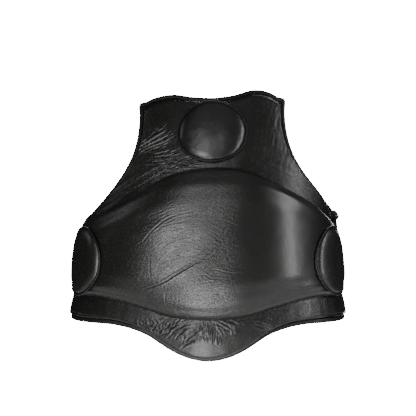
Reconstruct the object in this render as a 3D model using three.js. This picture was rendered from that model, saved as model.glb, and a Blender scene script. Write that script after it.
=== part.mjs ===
// Boxing body protector: a padded leather front with wings that wrap round the ribs, a thick belly pad,
// three round target pads, a bound edge and a webbing harness closed behind the wearer.
// Millimetres, +Z up. The front faces -Y. The origin is on the wearer's axis, in the middle of the torso.

import * as THREE from "three";

// Driving sizes of the worn form
const frontHeight = 496;
const torsoWidth = 508;
const frontDepth = 168;
const backDepth = 128;
const wingAngle = 112;
const necklineAngle = 47;
const bibShift = 8;
const shoulderTilt = 1.7;

// Driving sizes of the padded shell and its edge
const shellWall = 5;
const shellPuff = 11;
const puffRampLength = 11;
const bandRampLength = 6;
const bandSwell = 7;
const bandStepLength = 4;
const hemWidth = 7;
const bindingLeg = 6;
const bindingWall = 1.5;
const bindingNose = 1.6;

// Driving sizes of the belly pad
const padThickness = 46;
const padLip = 2.5;
const padRearShare = 0.85;
const padRollShare = 1.6;
const padRollLength = 8;
const padStepLength = 4;

// Driving sizes of the round target pads
const targetRadius = 60;
const targetHeight = 13;
const targetLip = 3;
const weltRadius = 2.2;
const chestTargetLift = 1.6;
const sideTargetLift = -11;
const sideTargetAngle = 63;

// Driving sizes of the harness
const strapWidth = 38;
const strapThickness = 2.6;
const strapAnchorAngle = 104;
const leftStrapGap = 12;
const rightStrapGap = 21;
const sliderLength = 17;
const sliderRim = 4;
const beltWidth = 66;
const beltThickness = 3;
const beltOverlapAngle = 11;
const beltSplit = 6;
const claspWidth = 48;
const claspHeight = 78;
const claspThickness = 7;

// Clearances
const clearance = 0.3;
const padSeat = 0.4;
const targetSeat = 0.7;
const strapSeat = 0.5;
const sliderPlay = 1;

// How finely the surfaces are divided
const columnsPerSide = 19;
const bandRows = 4;
const bandRowSpacing = 1.6;
const bellyRows = 9;
const chestRows = 11;
const targetSides = 24;

// Torso sections, as shares: height of frontHeight, half width of torsoWidth / 2,
// front depth of frontDepth, back depth of backDepth, and the setback of the axis of frontDepth
const torsoSections = [
  [-0.6, 0.955, 0.8, 0.92, 0],
  [-0.5, 0.972, 0.88, 0.95, 0],
  [-0.36, 0.974, 0.982, 1, 0],
  [-0.28, 0.944, 1, 1, 0],
  [-0.2, 0.912, 1, 0.98, 0],
  [-0.12, 0.894, 1, 0.95, 0],
  [0, 0.888, 0.982, 0.92, 0],
  [0.08, 0.88, 0.958, 0.92, 0.01],
  [0.21, 0.82, 0.917, 0.92, 0.03],
  [0.36, 0.74, 0.79, 0.85, 0.09],
  [0.5, 0.678, 0.577, 0.7, 0.15],
  [0.6, 0.635, 0.4, 0.6, 0.2],
];

// The lines round the front, as shares: angle of wingAngle from the centre line, height of frontHeight
const bottomLine = [
  [0, -0.479],
  [0.112, -0.451],
  [0.226, -0.385],
  [0.38, -0.3475],
  [0.5, -0.342],
  [0.67, -0.339],
  [0.804, -0.332],
  [1, -0.275],
];
const lowerSeam = [
  [0, -0.343],
  [0.151, -0.325],
  [0.2375, -0.301],
  [0.334, -0.281],
  [0.449, -0.266],
  [0.643, -0.262],
  [0.804, -0.25],
  [1, -0.215],
];
const archSeam = [
  [0, 0.206],
  [0.182, 0.185],
  [0.271, 0.147],
  [0.377, 0.101],
  [0.506, 0.054],
  [0.759, -0.024],
  [1, -0.1],
];

// The neckline, as shares: angle of necklineAngle, height of frontHeight
const neckline = [
  [0, 0.465],
  [0.27, 0.471],
  [0.53, 0.483],
  [0.8, 0.474],
  [1, 0.457],
];

// The armhole from the wing's rear corner up to the shoulder's outer corner, as shares:
// way along it, angle of wingAngle, height of frontHeight
const armhole = [
  [0, 1, -0.1],
  [0.07, 0.985, -0.066],
  [0.16, 0.89, -0.038],
  [0.27, 0.76, 0.008],
  [0.38, 0.65, 0.0625],
  [0.48, 0.53, 0.119],
  [0.58, 0.4375, 0.2],
  [0.7, 0.396, 0.282],
  [0.82, 0.391, 0.359],
  [0.92, 0.405, 0.433],
  [1, necklineAngle / wingAngle, 0.457],
];

// The belly pad's thickness, as shares: angle of wingAngle, thickness of padThickness
const padSwell = [
  [0, 1],
  [0.25, 0.96],
  [0.42, 0.68],
  [0.55, 0.4],
  [0.7, 0.26],
  [1, 0.2],
];

// Where the lower band begins to swell and where it has its full swell, as shares of wingAngle
const bandSwellShares = [0.2, 0.6];

// The dome of a target pad from its middle out, as shares: radius of targetRadius, height of targetHeight
const targetDome = [
  [0, 1],
  [0.42, 0.96],
  [0.74, 0.82],
  [0.93, 0.52],
];

// A shoulder strap's way from its anchor on the wing over the back, as shares:
// turn from strapAnchorAngle to the spine, height of frontHeight
const strapOverBack = [
  [0, -0.17],
  [0, -0.11],
  [0, -0.07],
  [0.035, -0.03],
  [0.145, 0.022],
  [0.33, 0.09],
  [0.46, 0.175],
  [0.605, 0.25],
  [0.8, 0.328],
  [1.03, 0.385],
  [1.22, 0.422],
  [1.36, 0.444],
];

// Its way over the far shoulder, as shares: side of torsoWidth / 2, depth of backDepth, height of frontHeight
const strapOverShoulder = [
  [0.375, 0.6, 0.465],
  [0.385, 0.2, 0.47],
  [0.385, -0.18, 0.466],
];

// Its end inside the bib, as shares: angle of necklineAngle, height of frontHeight
const strapInBib = [
  [0.67, 0.445],
  [0.66, 0.415],
  [0.66, 0.385],
];

// Each shoulder strap: its name and side, how far it stands off the back, and its slider's place along it
const harnessStraps = [
  ["left", -1, leftStrapGap, 0.4],
  ["right", 1, rightStrapGap, 0.21],
];

// Where a strap begins to stand off the back and where it stands off fully, as shares of frontHeight
const standOffShares = [-0.09, 0];

// A smooth curve through the rows of a table: the value of a column where the first column reaches a share
function through(table, column, share) {
  const last = table.length - 1;
  const at = THREE.MathUtils.clamp(share, table[0][0], table[last][0]);
  let row = 0;
  while (row < last - 1 && table[row + 1][0] < at) row += 1;
  const slope = (k) => {
    if (k === 0 || k === last) return 0;
    const before = table[k][0] - table[k - 1][0];
    const after = table[k + 1][0] - table[k][0];
    const rise = (table[k][column] - table[k - 1][column]) / before;
    const next = (table[k + 1][column] - table[k][column]) / after;
    return (rise * after + next * before) / (before + after);
  };
  const step = table[row + 1][0] - table[row][0];
  const t = (at - table[row][0]) / step;
  const start = table[row][column];
  const end = table[row + 1][column];
  const rise = end - start;
  const a = slope(row) * step - rise;
  const b = rise - slope(row + 1) * step;
  return start + rise * t + t * (1 - t) * (a * (1 - t) + b * t);
}

// The height in the middle between two lines at a share of the wing angle
function seamMiddle(lower, upper, share) {
  return (through(lower, 1, share) + through(upper, 1, share)) / 2;
}

// A point of the smooth torso form at an angle in degrees and a height as a share of frontHeight
function formPoint(angle, height) {
  const turn = THREE.MathUtils.degToRad(angle);
  const halfWidth = (torsoWidth / 2) * through(torsoSections, 1, height);
  const front = frontDepth * through(torsoSections, 2, height);
  const back = backDepth * through(torsoSections, 3, height);
  const setback = frontDepth * through(torsoSections, 4, height);
  const depth = Math.cos(turn) > 0 ? front : back;
  return new THREE.Vector3(
    halfWidth * Math.sin(turn),
    setback - depth * Math.cos(turn),
    height * frontHeight,
  );
}

function formNormal(angle, height) {
  const across = formPoint(angle + 0.5, height).sub(formPoint(angle - 0.5, height));
  const up = formPoint(angle, height + 0.002).sub(formPoint(angle, height - 0.002));
  return across.cross(up).normalize();
}

// The front's own grid: a chart place (angle, height) for a column share from -1 to 1 and a row
function chartPlace(columnShare, row) {
  const side = Math.sign(columnShare) || 1;
  const share = Math.abs(columnShare);
  const angle = wingAngle * share;
  const low = through(lowerSeam, 1, share);
  const high = through(archSeam, 1, share);
  if (row <= bandRows) {
    const bottom = through(bottomLine, 1, share);
    const v = (row / bandRows) ** bandRowSpacing;
    return [side * angle, THREE.MathUtils.lerp(bottom, low, v)];
  }
  if (row <= bandRows + bellyRows) {
    const v = (1 - Math.cos((Math.PI * (row - bandRows)) / bellyRows)) / 2;
    return [side * angle, THREE.MathUtils.lerp(low, high, v)];
  }
  const v = (row - bandRows - bellyRows) / chestRows;
  const pull = 1 - (1 - share) ** 1.6;
  const blend = (seam, neck, hole, seamEnd, neckEnd) =>
    (1 - v) * seam + v * neck + pull * (hole - (1 - v) * seamEnd - v * neckEnd);
  const chestAngle = blend(
    angle,
    necklineAngle * share,
    wingAngle * through(armhole, 1, v),
    wingAngle,
    necklineAngle,
  );
  const chestHeight = blend(
    high,
    through(neckline, 1, share),
    through(armhole, 2, v),
    through(archSeam, 1, 1),
    through(neckline, 1, 1),
  );
  return [side * chestAngle, chestHeight];
}

const rowCount = bandRows + bellyRows + chestRows;
const columnCount = 2 * columnsPerSide;
const charts = [];
for (let row = 0; row <= rowCount; row += 1) {
  const line = [];
  for (let column = 0; column <= columnCount; column += 1) {
    line.push(chartPlace(column / columnsPerSide - 1, row));
  }
  charts.push(line);
}

// The rim of a grid as one loop, counter-clockwise seen from outside
function rimOf(grid) {
  const top = grid.length - 1;
  const right = grid[0].length - 1;
  const loop = [];
  for (let column = 0; column < right; column += 1) loop.push(grid[0][column]);
  for (let row = 0; row < top; row += 1) loop.push(grid[row][right]);
  for (let column = right; column > 0; column -= 1) loop.push(grid[top][column]);
  for (let row = top; row > 0; row -= 1) loop.push(grid[row][0]);
  return loop;
}

const hemCharts = rimOf(charts);
const hemLine = hemCharts.map(([angle, height]) => formPoint(angle, height));

// How far the padding stands out of the form: it rises in a roll from the hem line, tightest under the band
function puffAt(angle, height) {
  const point = formPoint(angle, height);
  const low = through(lowerSeam, 1, Math.abs(angle) / wingAngle);
  const rampLength = height < low ? bandRampLength : puffRampLength;
  const piece = new THREE.Line3();
  const nearest = new THREE.Vector3();
  let reach = Infinity;
  hemLine.forEach((start, k) => {
    piece.set(start, hemLine[(k + 1) % hemLine.length]);
    piece.closestPointToPoint(point, true, nearest);
    reach = Math.min(reach, nearest.distanceTo(point));
  });
  const away = Math.min(1, reach / rampLength);
  return shellPuff * Math.sqrt(1 - (1 - away) ** 2);
}

// How far the belly pad stands out of the padding
function padRise(angle, height) {
  const share = Math.abs(angle) / wingAngle;
  const low = through(lowerSeam, 1, share);
  const high = through(archSeam, 1, share);
  const full = padFull(angle);
  const rollLength = padRollLength + padRollShare * full;
  const lowLength = THREE.MathUtils.lerp(rollLength, padStepLength, asideAt(angle));
  const fromLow = ((height - low) * frontHeight) / lowLength;
  const fromHigh = ((high - height) * frontHeight) / rollLength;
  const roll = THREE.MathUtils.clamp(Math.min(fromLow, fromHigh), 0, 1);
  return full * Math.sqrt(1 - (1 - roll) ** 2);
}

// How far an angle is to the side, from 0 where the lower band is flat to 1 where it is swollen
function asideAt(angle) {
  return THREE.MathUtils.smoothstep(Math.abs(angle) / wingAngle, ...bandSwellShares);
}

// Its full thickness at an angle, which rolls off at its rear ends
function padFull(angle) {
  const share = Math.abs(angle) / wingAngle;
  const end = Math.sqrt(Math.max(0, 1 - (share / padRearShare) ** 12));
  return padThickness * through(padSwell, 1, share) * end;
}

// A point at a height above the form, along its normal
function above(angle, height, rise) {
  return formPoint(angle, height).addScaledVector(formNormal(angle, height), rise);
}

// The lower band swells out at the sides, up to the seam, and ends in a short step under the belly pad
function bandFull(angle, height) {
  const share = Math.abs(angle) / wingAngle;
  const under = (height - through(lowerSeam, 1, share)) * frontHeight;
  const left = 1 - THREE.MathUtils.clamp(under / bandStepLength, 0, 1);
  return bandSwell * asideAt(angle) * left;
}

// The outside of the padded shell, and of the belly pad on it
function shellTop(angle, height) {
  const swell = 1 + bandFull(angle, height) / shellPuff;
  return puffAt(angle, height) * swell;
}

function padTop(angle, height) {
  const rise = Math.max(padRise(angle, height), bandFull(angle, height));
  return puffAt(angle, height) + padSeat + padLip + rise;
}

// The worn front sits a little uneven: the bib is shifted to one side and one shoulder is higher
function settle(point) {
  const upper = THREE.MathUtils.smoothstep(point.z / frontHeight, -0.02, 0.12);
  const tilt = Math.tan(THREE.MathUtils.degToRad(shoulderTilt));
  const x = point.x + bibShift * upper;
  const z = point.z + tilt * point.x * upper;
  return new THREE.Vector3(x, point.y, z);
}

// A closed body from triangles
class Body {
  constructor() {
    this.corners = [];
  }

  triangle(a, b, c) {
    for (const corner of [a, b, c]) {
      const p = settle(corner);
      this.corners.push(p.x, p.y, p.z);
    }
  }

  quad(a, b, c, d) {
    this.triangle(a, b, c);
    this.triangle(a, c, d);
  }

  grid(rows) {
    for (let i = 0; i + 1 < rows.length; i += 1) {
      for (let j = 0; j + 1 < rows[i].length; j += 1) {
        this.quad(rows[i][j], rows[i][j + 1], rows[i + 1][j + 1], rows[i + 1][j]);
      }
    }
  }

  gridBack(rows) {
    for (let i = 0; i + 1 < rows.length; i += 1) {
      for (let j = 0; j + 1 < rows[i].length; j += 1) {
        const [a, b] = [rows[i][j], rows[i][j + 1]];
        const [c, d] = [rows[i + 1][j + 1], rows[i + 1][j]];
        this.triangle(a, c, b);
        this.triangle(a, d, c);
      }
    }
  }

  // Strips from each ring of points to the next, outwards and round to the back
  rings(rings, crossed = false) {
    for (let r = 0; r + 1 < rings.length; r += 1) {
      const [near, far] = [rings[r], rings[r + 1]];
      for (let k = 0; k < near.length; k += 1) {
        const next = (k + 1) % near.length;
        if (crossed) this.quad(far[next], near[next], near[k], far[k]);
        else this.quad(far[k], far[next], near[next], near[k]);
      }
    }
  }

  fan(centre, ring) {
    for (let k = 0; k < ring.length; k += 1) {
      this.triangle(centre, ring[k], ring[(k + 1) % ring.length]);
    }
  }

  geometry() {
    const geometry = new THREE.BufferGeometry();
    geometry.setAttribute("position", new THREE.Float32BufferAttribute(this.corners, 3));
    geometry.computeVertexNormals();
    return geometry;
  }
}

// The hem line's outward direction at each of its points, mitred at the corners
const hemNormals = hemCharts.map(([angle, height]) => formNormal(angle, height));
const hemOutward = hemLine.map((point, k) => {
  const count = hemLine.length;
  const before = point.clone().sub(hemLine[(k + count - 1) % count]).normalize();
  const after = hemLine[(k + 1) % count].clone().sub(point).normalize();
  const first = before.cross(hemNormals[k]).normalize();
  const second = after.cross(hemNormals[k]).normalize();
  const spread = 1 + first.dot(second);
  return first.add(second).divideScalar(spread);
});

// A point beside the hem line: so far outwards in the surface, and so far out of it
function besideHem(k, outwards, rise) {
  return hemLine[k]
    .clone()
    .addScaledVector(hemOutward[k], outwards)
    .addScaledVector(hemNormals[k], rise);
}

function bodyShell() {
  const body = new Body();
  const outside = charts.map((line) => line.map(([a, h]) => above(a, h, shellTop(a, h))));
  const inside = charts.map((line) => line.map(([a, h]) => above(a, h, -shellWall)));
  body.grid(outside);
  body.gridBack(inside);
  const edgeOut = hemLine.map((point, k) => besideHem(k, hemWidth, 0));
  const edgeIn = hemLine.map((point, k) => besideHem(k, hemWidth, -shellWall));
  body.rings([rimOf(outside), edgeOut, edgeIn, rimOf(inside)]);
  return body.geometry();
}

function bellyPad() {
  const body = new Body();
  const rearColumn = Math.round(columnsPerSide * padRearShare);
  const first = columnsPerSide - rearColumn;
  const last = columnsPerSide + rearColumn;
  const places = charts
    .slice(bandRows, bandRows + bellyRows + 1)
    .map((line) => line.slice(first, last + 1));
  const back = places.map((line) => line.map(([a, h]) => above(a, h, shellTop(a, h) + padSeat)));
  const front = places.map((line) => line.map(([a, h]) => above(a, h, padTop(a, h))));
  body.grid(front);
  body.gridBack(back);
  body.rings([rimOf(front), rimOf(back)]);
  return body.geometry();
}

// The chart place at a distance from a target's centre, measured along the surface
function targetPlace(angle, height, seat, radius, turn) {
  const acrossStep = seat(angle + 1, height).distanceTo(seat(angle - 1, height)) / 2;
  const upStep = seat(angle, height + 0.01).distanceTo(seat(angle, height - 0.01)) / 0.02;
  const across = (radius * Math.cos(turn)) / acrossStep;
  const up = (radius * Math.sin(turn)) / upStep;
  return [angle + across, height + up];
}

// The surface that a target sits on: the shell at the chest, the belly pad's full thickness at the sides
function chestSeat(angle, height) {
  return above(angle, height, shellTop(angle, height));
}

function sideSeat(angle, height) {
  return above(angle, height, shellPuff + padSeat + padLip + padFull(angle));
}

function targetPad(angle, height, seat) {
  const body = new Body();
  const ringAt = (share, rise) => {
    const ring = [];
    for (let k = 0; k < targetSides; k += 1) {
      const turn = (2 * Math.PI * k) / targetSides;
      const [a, h] = targetPlace(angle, height, seat, share * targetRadius, turn);
      ring.push(seat(a, h).addScaledVector(formNormal(a, h), targetSeat + rise));
    }
    return ring;
  };
  const centreAt = (rise) =>
    seat(angle, height).addScaledVector(formNormal(angle, height), targetSeat + rise);
  const front = targetDome.slice(1).map(([radius, rise]) => ringAt(radius, rise * targetHeight));
  const back = [1, 0.78, 0.53, 0.27].map((share) => ringAt(share, 0));
  body.fan(centreAt(targetHeight), front[0]);
  body.rings([...front, ringAt(1, targetLip), ...back]);
  body.fan(centreAt(0), back[back.length - 1].slice().reverse());
  return body.geometry();
}

// A closed welt round a target, resting on the same seat
function targetWelt(angle, height, seat) {
  const body = new Body();
  const middle = targetRadius + clearance + weltRadius;
  const sections = [];
  for (let s = 0; s < 6; s += 1) {
    const lean = (2 * Math.PI * s) / 6;
    const radius = middle + weltRadius * Math.cos(lean);
    const rise = targetSeat + weltRadius + weltRadius * Math.sin(lean);
    const ring = [];
    for (let k = 0; k < targetSides; k += 1) {
      const turn = (2 * Math.PI * k) / targetSides;
      const [a, h] = targetPlace(angle, height, seat, radius, turn);
      ring.push(seat(a, h).addScaledVector(formNormal(a, h), rise));
    }
    sections.push(ring);
  }
  sections.reverse();
  body.rings([...sections, sections[0]]);
  return body.geometry();
}

// The binding folds round the edge: a channel with two legs over the hem
function edgeBinding() {
  const body = new Body();
  const legEnd = hemWidth - bindingLeg;
  const nose = hemWidth + clearance;
  const innerTop = clearance;
  const innerBottom = -shellWall - clearance;
  const section = [
    [legEnd, innerTop + bindingWall],
    [nose, innerTop + bindingWall],
    [nose + bindingNose, -shellWall / 2],
    [nose, innerBottom - bindingWall],
    [legEnd, innerBottom - bindingWall],
    [legEnd, innerBottom],
    [nose, innerBottom],
    [nose, innerTop],
    [legEnd, innerTop],
  ];
  const rings = section.map(([out, rise]) => hemLine.map((point, k) => besideHem(k, out, rise)));
  body.rings(rings.slice(0, 5));
  body.rings([...rings.slice(4), rings[0]], true);
  return body.geometry();
}

// A shoulder strap's stations: the middle of its inner face, its direction and its outward direction
function strapStations(side, standOff) {
  const keys = [];
  for (const [turn, height] of strapOverBack) {
    const angle = side * THREE.MathUtils.lerp(strapAnchorAngle, 180, turn);
    const away = THREE.MathUtils.smoothstep(height, ...standOffShares) * standOff;
    const rise = shellPuff + strapSeat + away;
    keys.push([above(angle, height, rise), formNormal(angle, height)]);
  }
  for (const [across, depth, height] of strapOverShoulder) {
    const point = new THREE.Vector3(
      (-side * across * torsoWidth) / 2,
      depth * backDepth,
      height * frontHeight,
    );
    keys.push([point, new THREE.Vector3(-side * 0.5, 0, 1).normalize()]);
  }
  for (const [turn, height] of strapInBib) {
    const angle = -side * turn * necklineAngle;
    const sag = (strapWidth / 2) ** 2 / frontDepth;
    const rise = -shellWall - strapSeat - strapThickness - sag;
    keys.push([above(angle, height, rise), formNormal(angle, height)]);
  }
  const curve = new THREE.CatmullRomCurve3(keys.map(([point]) => point));
  const steps = 2 * (keys.length - 1);
  const stations = [];
  for (let step = 0; step <= steps; step += 1) {
    const key = Math.min(Math.floor(step / 2), keys.length - 2);
    const outward = keys[key][1].clone().lerp(keys[key + 1][1], step / 2 - key).normalize();
    const along = curve.getTangent(step / steps);
    stations.push({ point: curve.getPoint(step / steps), along, outward });
  }
  return stations;
}

// A corner of a band's section at a station: so far across it, and so far out of its inner face
function bandCorner({ point, along, outward }, across, rise) {
  const sideways = outward.clone().cross(along).normalize();
  return point.clone().addScaledVector(sideways, across).addScaledVector(outward, rise);
}

function shoulderStrap(stations) {
  const body = new Body();
  const half = strapWidth / 2;
  const section = [
    [-half, 0],
    [half, 0],
    [half, strapThickness],
    [-half, strapThickness],
  ];
  const cuts = stations.map((station) => section.map(([x, y]) => bandCorner(station, x, y)));
  const last = cuts.length - 1;
  body.rings(cuts.slice().reverse());
  body.quad(...cuts[0].slice().reverse());
  body.quad(...cuts[last]);
  return body.geometry();
}

// A plain slider: a short frame round the strap
function strapSlider(before, after) {
  const station = {
    point: before.point.clone().lerp(after.point, 0.5),
    along: after.point.clone().sub(before.point).normalize(),
    outward: before.outward.clone().lerp(after.outward, 0.5).normalize(),
  };
  const body = new Body();
  const frame = (end, play, rim) => {
    const half = strapWidth / 2 + play + rim;
    const centre = station.point.clone().addScaledVector(station.along, (end * sliderLength) / 2);
    const cut = { ...station, point: centre };
    const low = -play - rim;
    const high = strapThickness + play + rim;
    const section = [
      [-half, low],
      [half, low],
      [half, high],
      [-half, high],
    ];
    return section.map(([x, y]) => bandCorner(cut, x, y));
  };
  const outerStart = frame(-1, sliderPlay, sliderRim);
  const outerEnd = frame(1, sliderPlay, sliderRim);
  const innerEnd = frame(1, sliderPlay, 0);
  const innerStart = frame(-1, sliderPlay, 0);
  body.rings([outerEnd, outerStart, innerStart, innerEnd, outerEnd]);
  return body.geometry();
}

// A curved plate that follows the form between two angles and two heights, from one rise to another
function formPlate(angles, heights, low, high, columns, rows) {
  const body = new Body();
  const faceAt = (rise) => {
    const lines = [];
    for (let i = 0; i <= rows; i += 1) {
      const height = THREE.MathUtils.lerp(...heights, i / rows);
      const line = [];
      for (let j = 0; j <= columns; j += 1) {
        line.push(above(THREE.MathUtils.lerp(...angles, j / columns), height, rise));
      }
      lines.push(line);
    }
    return lines;
  };
  const outer = faceAt(high);
  const inner = faceAt(low);
  body.grid(outer);
  body.gridBack(inner);
  body.rings([rimOf(outer), rimOf(inner)]);
  return body.geometry();
}

// The angle at the back that a distance from the spine takes
function spineAngle(distance) {
  return THREE.MathUtils.radToDeg(distance / (torsoWidth / 2));
}

// The belt sits in the middle of the wings' rear edge
const beltHeight = seamMiddle(bottomLine, archSeam, 1);
const beltHeights = [
  beltHeight - beltWidth / 2 / frontHeight,
  beltHeight + beltWidth / 2 / frontHeight,
];
const beltTop = -shellWall - clearance - bindingWall - strapSeat;

function backBelt(side) {
  const outerEnd = wingAngle - beltOverlapAngle;
  const spineEnd = 180 - spineAngle(beltSplit / 2);
  const angles = side > 0 ? [outerEnd, spineEnd] : [-spineEnd, -outerEnd];
  return formPlate(angles, beltHeights, beltTop - beltThickness, beltTop, 14, 3);
}

function backClasp() {
  const half = spineAngle(claspWidth / 2);
  const heights = [
    beltHeight - claspHeight / 2 / frontHeight,
    beltHeight + claspHeight / 2 / frontHeight,
  ];
  const low = beltTop + clearance;
  return formPlate([180 - half, 180 + half], heights, low, low + claspThickness, 4, 3);
}

const group = new THREE.Group();

const leather = () => new THREE.MeshStandardMaterial({ color: 0x17171a, roughness: 0.42 });
const bindingLeather = () => new THREE.MeshStandardMaterial({ color: 0x101012, roughness: 0.5 });
const webbing = () => new THREE.MeshStandardMaterial({ color: 0x0d0d0e, roughness: 0.85 });
const plastic = () => new THREE.MeshStandardMaterial({ color: 0x141414, roughness: 0.55 });

function place(name, geometry, material) {
  const mesh = new THREE.Mesh(geometry, material);
  mesh.name = name;
  group.add(mesh);
}

place("body_shell", bodyShell(), leather());
place("belly_pad", bellyPad(), leather());
place("edge_binding", edgeBinding(), bindingLeather());

// A target's middle is set between the two lines that bound it
const chestTargetHeight = seamMiddle(archSeam, neckline, 0) + chestTargetLift / frontHeight;
const sideTargetMiddle = seamMiddle(lowerSeam, archSeam, sideTargetAngle / wingAngle);
const sideTargetHeight = sideTargetMiddle + sideTargetLift / frontHeight;
const targets = [
  ["chest", 0, chestTargetHeight, chestSeat],
  ["left", -sideTargetAngle, sideTargetHeight, sideSeat],
  ["right", sideTargetAngle, sideTargetHeight, sideSeat],
];
for (const [name, angle, height, seat] of targets) {
  place(name + "_target", targetPad(angle, height, seat), leather());
  place(name + "_welt", targetWelt(angle, height, seat), leather());
}

for (const [name, side, standOff, sliderShare] of harnessStraps) {
  const stations = strapStations(side, standOff);
  const held = Math.round(sliderShare * (stations.length - 1));
  place("shoulder_strap_" + name, shoulderStrap(stations), webbing());
  place("strap_slider_" + name, strapSlider(stations[held], stations[held + 1]), plastic());
  place("back_belt_" + name, backBelt(side), webbing());
}
place("back_clasp", backClasp(), plastic());

export default group;
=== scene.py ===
# %% [markdown]
# # A padded leather body protector
# This is a trainer's front armour: a leather bib and two wings over thick padding, a raised belly pad,
# three round target pads, a bound edge and a webbing harness behind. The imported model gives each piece
# its size and place. This lesson gives each piece its rounded padding, its folds and its finish.

import math
import random

import bmesh
import bpy
import numpy as np
from mathutils import Matrix, Vector, noise
from mathutils.bvhtree import BVHTree


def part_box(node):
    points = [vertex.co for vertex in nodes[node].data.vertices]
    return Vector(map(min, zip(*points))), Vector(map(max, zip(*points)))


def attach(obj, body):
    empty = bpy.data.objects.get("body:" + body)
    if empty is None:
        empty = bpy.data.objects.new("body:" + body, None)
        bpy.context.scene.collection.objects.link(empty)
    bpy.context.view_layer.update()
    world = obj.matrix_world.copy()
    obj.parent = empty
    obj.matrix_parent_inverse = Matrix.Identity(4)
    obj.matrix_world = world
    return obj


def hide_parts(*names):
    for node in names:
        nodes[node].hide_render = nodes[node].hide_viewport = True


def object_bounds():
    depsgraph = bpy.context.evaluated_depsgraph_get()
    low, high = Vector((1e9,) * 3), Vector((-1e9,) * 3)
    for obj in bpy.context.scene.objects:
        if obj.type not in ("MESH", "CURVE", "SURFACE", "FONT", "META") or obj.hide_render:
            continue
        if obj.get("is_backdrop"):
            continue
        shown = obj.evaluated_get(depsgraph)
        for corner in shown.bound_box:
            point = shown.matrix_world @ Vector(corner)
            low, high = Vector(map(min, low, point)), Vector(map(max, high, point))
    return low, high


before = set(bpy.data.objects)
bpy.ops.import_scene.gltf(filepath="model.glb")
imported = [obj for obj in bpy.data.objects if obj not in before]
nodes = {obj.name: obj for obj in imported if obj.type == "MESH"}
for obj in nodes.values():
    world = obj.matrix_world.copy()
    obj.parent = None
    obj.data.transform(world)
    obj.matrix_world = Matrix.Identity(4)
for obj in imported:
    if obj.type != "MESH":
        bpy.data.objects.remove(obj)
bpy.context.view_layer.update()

# %% [markdown]
# ## The camera
# The picture is taken level with the belly, from far away with a long lens, so that the sides hardly
# shrink. The image is 416 pixels square, and one pixel is 1.9 mm on the object. The camera comes first,
# because the folds are drawn where the camera sees them and then dropped on the leather.

# %% Camera
DISTANCE = 3.2
PIXEL = 0.0019
FRAME_SIDE = 416
ORIGIN_PIXEL = (207.9, 225.5)
SENSOR = 36
MIDDLE = FRAME_SIDE / 2
EYE = Vector(((MIDDLE - ORIGIN_PIXEL[0]) * PIXEL, -DISTANCE, (ORIGIN_PIXEL[1] - MIDDLE) * PIXEL))

lens = bpy.data.cameras.new("Front camera")
lens.sensor_width = SENSOR
lens.lens = SENSOR * DISTANCE / (FRAME_SIDE * PIXEL)
camera = bpy.data.objects.new("Front camera", lens)
camera.location = EYE
camera.rotation_euler = (math.radians(90), 0, 0)
bpy.context.scene.collection.objects.link(camera)
bpy.context.scene.camera = camera
print("camera:", round(lens.lens, 1), "mm lens at", tuple(round(x, 3) for x in EYE))

# %% [markdown]
# ## Helpers for the meshes
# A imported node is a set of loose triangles. A copy is merged, and its triangles are joined into quads, so
# that a subdivision surface can round it. Folds are then pressed into the finely divided mesh: the points
# near a line sink, and the leather beside it bulges, which is what a crease does on the real thing.


# %% Copying and rounding
MERGE_DISTANCE = 0.00002
FACING_CAMERA = -0.3
UPRIGHT = 0.7


def only(piece):
    """Selects one object and nothing else"""
    bpy.ops.object.select_all(action="DESELECT")
    piece.select_set(True)
    bpy.context.view_layer.objects.active = piece


def placed(name, data):
    """A new object, linked to the scene"""
    made = bpy.data.objects.new(name, data)
    bpy.context.scene.collection.objects.link(made)
    return made


def copy_of(node, name):
    """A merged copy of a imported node, made of quads"""
    piece = placed(name, nodes[node].data.copy())
    piece.data.materials.clear()
    only(piece)
    bpy.ops.object.mode_set(mode="EDIT")
    bpy.ops.mesh.select_all(action="SELECT")
    bpy.ops.mesh.remove_doubles(threshold=MERGE_DISTANCE)
    bpy.ops.mesh.customdata_custom_splitnormals_clear()
    bpy.ops.mesh.mark_sharp(clear=True)
    fold, skew = math.radians(60), math.radians(180)
    bpy.ops.mesh.tris_convert_to_quads(face_threshold=fold, shape_threshold=skew)
    bpy.ops.object.mode_set(mode="OBJECT")
    return piece


def apply_all(piece):
    only(piece)
    for modifier in list(piece.modifiers):
        bpy.ops.object.modifier_apply(modifier=modifier.name)
    bpy.ops.object.shade_smooth()


def points_of(piece):
    flat = np.empty(len(piece.data.vertices) * 3)
    piece.data.vertices.foreach_get("co", flat)
    return flat.reshape(-1, 3)


def normals_of(piece):
    flat = np.empty(len(piece.data.vertices) * 3)
    piece.data.vertex_normals.foreach_get("vector", flat)
    return flat.reshape(-1, 3)


def set_points(piece, points):
    piece.data.vertices.foreach_set("co", points.ravel())
    piece.data.update()


def round_off(piece, levels, hold=0.7):
    """Rounds a piece with a subdivision surface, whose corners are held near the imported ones"""
    rounding = piece.modifiers.new("Rounding", "SUBSURF")
    rounding.levels = rounding.render_levels = 1
    packed = points_of(piece)
    for _ in range(2):
        shaped = piece.evaluated_get(bpy.context.evaluated_depsgraph_get())
        points = points_of(shaped)[: len(packed)]
        set_points(piece, points_of(piece) + hold * (packed - points))
    rounding.levels = rounding.render_levels = levels
    apply_all(piece)


def pixel_of(point):
    """Where the camera sees a point"""
    near = DISTANCE / (point.y - EYE.y)
    column = ORIGIN_PIXEL[0] + (EYE.x + (point.x - EYE.x) * near) / PIXEL
    return column, ORIGIN_PIXEL[1] - (EYE.z + (point.z - EYE.z) * near) / PIXEL


def opened(piece):
    """A piece's mesh, opened for edits or measuring"""
    bm = bmesh.new()
    bm.from_mesh(piece.data)
    return bm


def closed(bm, piece):
    """Writes an opened mesh back"""
    bm.to_mesh(piece.data)
    bm.free()


def climbs(edge, share):
    """Whether an edge rises by more than a share of its length"""
    return abs(edge.verts[0].co.z - edge.verts[1].co.z) > share * edge.calc_length()


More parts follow.
